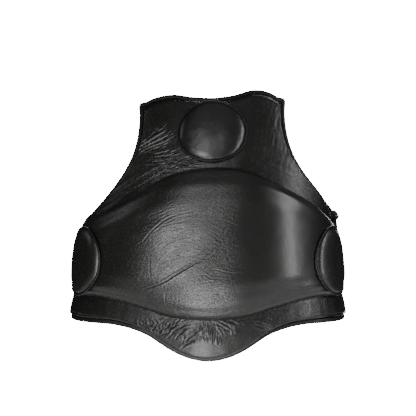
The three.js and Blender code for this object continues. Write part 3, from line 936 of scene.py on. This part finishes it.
webbing = plain_material("Ribbed webbing", (0.012, 0.012, 0.012), 0.8)
tree = webbing.node_tree
shader = shader_of(webbing)
laid = add(tree, "ShaderNodeUVMap", uv_map="Band").outputs["UV"]
woven = add(tree, "ShaderNodeGroup", node_tree=weave)
tree.links.new(laid, woven.inputs["Place"])
tint = add(tree, "ShaderNodeValToRGB", {"Fac": woven.outputs["Shade"]})
tint.color_ramp.elements[0].color = (0.004, 0.004, 0.004, 1)
tint.color_ramp.elements[1].color = (0.022, 0.0215, 0.021, 1)
raised = add(tree, "ShaderNodeBump", {"Distance": 1.0, "Height": woven.outputs["Height"]})
tree.links.new(tint.outputs["Color"], shader.inputs["Base Color"])
tree.links.new(raised.outputs["Normal"], shader.inputs["Normal"])
shader.inputs["Sheen Weight"].default_value = 0.15


# %% Laying a band
def band_rings(piece):
    """The four corners of a band at each of its stations, from one end to the other"""
    bm = opened(piece)
    ends = [f for f in bm.faces if len(f.verts) == 4 and all(len(v.link_edges) == 3 for v in f.verts)]
    ring = list(ends[0].verts)
    known, rings = set(ring), [ring]
    while True:
        ahead = []
        for corner in ring:
            new = [e for e in corner.link_edges if e.other_vert(corner) not in known]
            if new:
                ahead.append(min(new, key=lambda e: e.calc_length()).other_vert(corner))
        if len(set(ahead)) < 4:
            break
        rings.append(ahead)
        known.update(ahead)
        ring = ahead
    found = np.array([[tuple(v.co) for v in ring] for ring in rings])
    bm.free()
    return found


def belt_rings(piece):
    """The same for a belt, whose stations are upright rows of points round the back"""
    points = points_of(piece)
    order = np.argsort(np.arctan2(points[:, 0], points[:, 1]))
    rings = []
    for row in np.split(points[order], len(points) // 8):
        row = row[np.argsort(row[:, 2])]
        low, high = row[:2], row[-2:]
        low = low[np.argsort(np.hypot(low[:, 0], low[:, 1]))]
        high = high[np.argsort(np.hypot(high[:, 0], high[:, 1]))]
        rings.append([low[0], high[0], high[1], low[1]])
    return np.array(rings)


def smooth_rows(rows, places):
    """Values between rows on a smooth curve through them"""
    padded = np.concatenate([rows[:1], rows, rows[-1:]])
    span = np.minimum(places.astype(int), len(rows) - 2)
    t = (places - span).reshape(-1, *[1] * (rows.ndim - 1))
    return on_curve(*(padded[span + k] for k in range(4)), t)


RIBS = 9
RIB_COLUMNS = 36
RIB_HEIGHT = 0.00022
BAND_STEP = 0.004
SELVEDGE_POWER = 8
SELVEDGE_END = 0.499
SELVEDGE_LEAST = 0.12


def lay_band(name, rings):
    """A ribbed band through corner rings, closed all round, with its own UV map"""
    if np.linalg.norm(rings[0, 1] - rings[0, 0]) < np.linalg.norm(rings[0, 2] - rings[0, 1]):
        rings = np.roll(rings, 1, axis=1)
    middle = rings.mean(axis=1)
    length = np.linalg.norm(np.diff(middle, axis=0), axis=1).sum()
    count = max(2, round(length / BAND_STEP))
    rings = smooth_rows(rings, np.linspace(0, len(rings) - 1, count + 1))
    middle = rings.mean(axis=1)
    across = (rings[:, 1] - rings[:, 0] + rings[:, 2] - rings[:, 3]) / 2
    out = (rings[:, 3] - rings[:, 0] + rings[:, 2] - rings[:, 1]) / 2
    width = np.linalg.norm(across[0])
    unit_out = out / np.linalg.norm(out, axis=1)[:, None]
    section = []
    for face in (-1, 1):
        for k in range(RIB_COLUMNS + 1):
            u = -0.5 + k / RIB_COLUMNS
            edge = SELVEDGE_LEAST
            if abs(u) < SELVEDGE_END:
                edge = (1 - abs(2 * u) ** SELVEDGE_POWER) ** 0.5
            rib = RIB_HEIGHT * abs(math.sin(math.pi * RIBS * (u + 0.5)))
            section.append((u * -face, 0.5 * face * edge, face * rib * edge))
    points, uvs = [], []
    far = np.concatenate([[0], np.cumsum(np.linalg.norm(np.diff(middle, axis=0), axis=1))])
    for k in range(count + 1):
        for u, lift, rib in section:
            points.append(middle[k] + u * across[k] + lift * out[k] + rib * unit_out[k])
            uvs.append((u * width, far[k]))
    size = len(section)
    faces = []
    for k in range(count):
        for j in range(size):
            n = (j + 1) % size
            faces.append((k * size + j, k * size + n, (k + 1) * size + n, (k + 1) * size + j))
    for k, turned in ((0, True), (count, False)):
        for j in range(RIB_COLUMNS):
            cap = (j, j + 1, size - 2 - j, size - 1 - j)
            faces.append(tuple(k * size + c for c in (cap[::-1] if turned else cap)))
    mesh = bpy.data.meshes.new(name)
    mesh.from_pydata([tuple(p) for p in points], [], faces)
    layer = mesh.uv_layers.new(name="Band")
    for loop in mesh.loops:
        layer.data[loop.index].uv = uvs[loop.vertex_index]
    band = placed(name, mesh)
    only(band)
    bpy.ops.object.mode_set(mode="EDIT")
    bpy.ops.mesh.select_all(action="SELECT")
    bpy.ops.mesh.normals_make_consistent(inside=False)
    bpy.ops.object.mode_set(mode="OBJECT")
    bpy.ops.object.shade_smooth()
    mesh.materials.append(webbing)
    print(name, "is", round(length, 3), "m long and", round(float(width), 3), "m wide")
    return band


# %% Straps and belts
strap_rings = {}
for node in sorted(nodes):
    if not node.startswith(("shoulder_strap", "back_belt")):
        continue
    measured = copy_of(node, "measured_" + node)
    rings = belt_rings(measured) if "belt" in node else band_rings(measured)
    bpy.data.objects.remove(measured)
    strap_rings[node] = rings
    band = lay_band(node + "_webbing", rings)
    spread_and_lift(band)
    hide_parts(node)
    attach(band, "root")

# %% [markdown]
# ## Sliders and clasp
# The plastic parts are moulded, so every edge has a small radius, and the broad faces have a shallow
# panel. A slider is a cube that is drawn into a frame, and the clasp is a copy of its curved plate.

# %% Plastic material
plastic = plain_material("Moulded plastic", (0.011, 0.011, 0.011), 0.42)
tree = plastic.node_tree
place = add(tree, "ShaderNodeTexCoord").outputs["Object"]
skin = add(tree, "ShaderNodeTexNoise", {"Vector": place, "Scale": 1400.0, "Detail": 2.0})
scuffs = add(tree, "ShaderNodeTexNoise", {"Vector": place, "Scale": 60.0, "Detail": 6.0})
dull = add(
    tree,
    "ShaderNodeMapRange",
    {"Value": scuffs.outputs["Fac"], "From Min": 0.4, "From Max": 0.7, "To Min": 0.36, "To Max": 0.52},
)
relief = add(tree, "ShaderNodeBump", {"Distance": 0.00006, "Height": skin.outputs["Fac"]})
tree.links.new(dull.outputs["Result"], shader_of(plastic).inputs["Roughness"])
tree.links.new(relief.outputs["Normal"], shader_of(plastic).inputs["Normal"])


# %% Sliders
def bevelled(piece, width):
    """Rounds the sharp edges of a piece by a bevel"""
    edge = piece.modifiers.new("Edge radius", "BEVEL")
    edge.width = width
    edge.segments = 3
    edge.limit_method = "ANGLE"
    edge.angle_limit = math.radians(35)
    only(piece)
    bpy.ops.object.modifier_apply(modifier=edge.name)
    bpy.ops.object.shade_smooth_by_angle(angle=math.radians(40))


SLIDER_SIZE = (0.048, 0.017, 0.0126)
SLIDER_RIM = 0.004
SLIDER_EDGE = 0.0014
SLOT_FACING = 0.9
for side in ("left", "right"):
    rings = strap_rings[f"shoulder_strap_{side}"]
    low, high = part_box(f"strap_slider_{side}")
    centre = np.array((low + high) / 2)
    middle = rings.mean(axis=1)
    k = int(np.argmin(np.linalg.norm((middle[1:] + middle[:-1]) / 2 - centre, axis=1)))
    wide = rings[k, 1] - rings[k, 0]
    thick = rings[k, 3] - rings[k, 0]
    if np.linalg.norm(wide) < np.linalg.norm(thick):
        wide, thick = thick, wide
    along = Vector(middle[k + 1] - middle[k]).normalized()
    outward = along.cross(Vector(wide)).normalized()
    across = along.cross(outward).normalized()
    bpy.ops.object.select_all(action="DESELECT")
    bpy.ops.mesh.primitive_cube_add(size=1)
    slider = bpy.context.active_object
    slider.name = f"strap_slider_{side}_moulding"
    slider.data.transform(Matrix.Diagonal((*SLIDER_SIZE, 1)))
    edit_faces(slider, lambda normal: abs(normal.y) > SLOT_FACING)
    bpy.ops.mesh.inset(thickness=SLIDER_RIM, use_individual=True)
    bpy.ops.mesh.bridge_edge_loops()
    bpy.ops.object.mode_set(mode="OBJECT")
    bevelled(slider, SLIDER_EDGE)
    turn = Matrix((across, along, outward)).transposed().to_4x4()
    slider.data.transform(Matrix.Translation(Vector(centre)) @ turn)
    slider.data.materials.append(plastic)
    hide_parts(f"strap_slider_{side}")
    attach(slider, "root")
    print(slider.name, "has", len(slider.data.polygons), "faces")

# %% Clasp
CLASP_RIM = 0.006
PANEL_SLOPE = 0.0015
PANEL_DEPTH = 0.0016
CLASP_EDGE = 0.0012
FACING_BACK = 0.8
clasp = copy_of("back_clasp", "back_clasp_moulding")
edit_faces(clasp, lambda normal: normal.y > FACING_BACK)
for thickness, depth in ((CLASP_RIM, 0), (PANEL_SLOPE, -PANEL_DEPTH)):
    bpy.ops.mesh.inset(
        thickness=thickness, depth=depth, use_even_offset=False, use_interpolate=False
    )
bpy.ops.object.mode_set(mode="OBJECT")
bevelled(clasp, CLASP_EDGE)
clasp.data.materials.append(plastic)
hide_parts("back_clasp")
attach(clasp, "root")
print("clasp has", len(clasp.data.polygons), "faces")

# %% [markdown]
# ## The studio
# Two large soft lights left of the camera give the broad highlight on the belly, and a small one adds to
# its left side. Two narrow strips on the right draw the streak of light there, and both lean with it. A low
# light shows the swollen lobe, one light picks out the left rim and one the shoulders, and the last serves
# the views from behind. The background is plain and pale, and so is the floor, which lies below the
# picture because the front is shown as worn.


# %% Lights, floor and background
def soft_light(name, azimuth, elevation, distance, size, power, lean):
    """An area light that looks at the object from a direction: 0 is the camera's side, + is the right.
    The lean tips the top of the light to the right, in degrees"""
    data = bpy.data.lights.new(name, "AREA")
    data.shape = "RECTANGLE"
    data.size, data.size_y = size
    data.energy = power
    lamp = placed(name, data)
    turn, rise = math.radians(azimuth), math.radians(elevation)
    toward = Vector(
        (math.sin(turn) * math.cos(rise), -math.cos(turn) * math.cos(rise), math.sin(rise))
    )
    lamp.location = toward * distance
    tip = Matrix.Rotation(-math.radians(lean), 3, "Z")
    lamp.rotation_euler = (toward.to_track_quat("Z", "Y").to_matrix() @ tip).to_euler()
    lamp.visible_camera = False


# Name, azimuth, elevation, distance, size, power and lean
LIGHTS = (
    ("Front softbox", -18, 0.5, 4.6, (1.6, 2.1), 146, 0),
    ("Upper softbox", -10, 35, 4.6, (1.8, 2.4), 54, 0),
    ("Left accent", -29, -8, 4.6, (0.45, 0.5), 19, 0),
    ("Right strip", 68, 2, 3.0, (0.2, 2.1), 38, 9),
    ("Right upper strip", 84, 32, 3.0, (0.22, 1.5), 26, 40),
    ("Low front light", -5, -50, 1.4, (0.32, 1.45), 25, 0),
    ("Left rim light", -98, 30, 3.0, (0.3, 1.3), 5.5, 0),
    ("Top light", 0, 86, 3.5, (3.0, 3.0), 7, 0),
    ("Back softbox", 172, 20, 4.2, (2.2, 2.6), 170, 0),
)
for light in LIGHTS:
    soft_light(*light)
print("studio:", len(LIGHTS), "lights")

FLOOR_RADIUS = 3
FLOOR_PLACE = (0, 0, -1.25)
bpy.ops.object.select_all(action="DESELECT")
bpy.ops.mesh.primitive_circle_add(
    vertices=96, radius=FLOOR_RADIUS, fill_type="NGON", location=FLOOR_PLACE
)
floor = bpy.context.active_object
floor.name = "studio_floor"
pale = plain_material("Pale floor", (0.8, 0.8, 0.8), 0.7)
ground = add(pale.node_tree, "ShaderNodeTexCoord").outputs["Object"]
clouds = add(pale.node_tree, "ShaderNodeTexNoise", {"Vector": ground, "Scale": 3.0, "Detail": 5.0})
limits = {"Value": clouds.outputs["Fac"], "To Min": 0.6, "To Max": 0.8}
matt = add(pale.node_tree, "ShaderNodeMapRange", limits)
pale.node_tree.links.new(matt.outputs["Result"], shader_of(pale).inputs["Roughness"])
floor.data.materials.append(pale)
floor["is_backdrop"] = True

world = bpy.data.worlds.new("Studio")
bpy.context.scene.world = world
world.use_nodes = True
tree = world.node_tree
fill = next(n for n in tree.nodes if n.type == "BACKGROUND")
way = add(tree, "ShaderNodeTexCoord").outputs["Generated"]
depth = add(tree, "ShaderNodeSeparateXYZ", {"Vector": way}).outputs["Y"]
behind = add(
    tree,
    "ShaderNodeMapRange",
    {"Value": depth, "From Min": -0.1, "From Max": 0.8, "To Min": 0.012, "To Max": 0.35},
    interpolation_type="SMOOTHSTEP",
)
tree.links.new(behind.outputs["Result"], fill.inputs["Strength"])
white = add(tree, "ShaderNodeBackground", {"Color": (1, 1, 1, 1), "Strength": 30.0})
seen = add(tree, "ShaderNodeLightPath").outputs["Is Camera Ray"]
both = add(tree, "ShaderNodeMixShader", {0: seen, 1: fill.outputs[0], 2: white.outputs[0]})
out = next(n for n in tree.nodes if n.type == "OUTPUT_WORLD")
tree.links.new(both.outputs[0], out.inputs["Surface"])

# %% [markdown]
# ## The finish
# The dressed object is to keep the imported model's size. Every imported node that is still shown is printed,
# and the dressed object's bounds are measured.

# %% Finish
for name, node in nodes.items():
    if not node.hide_render:
        print("still plain:", name)
low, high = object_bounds()
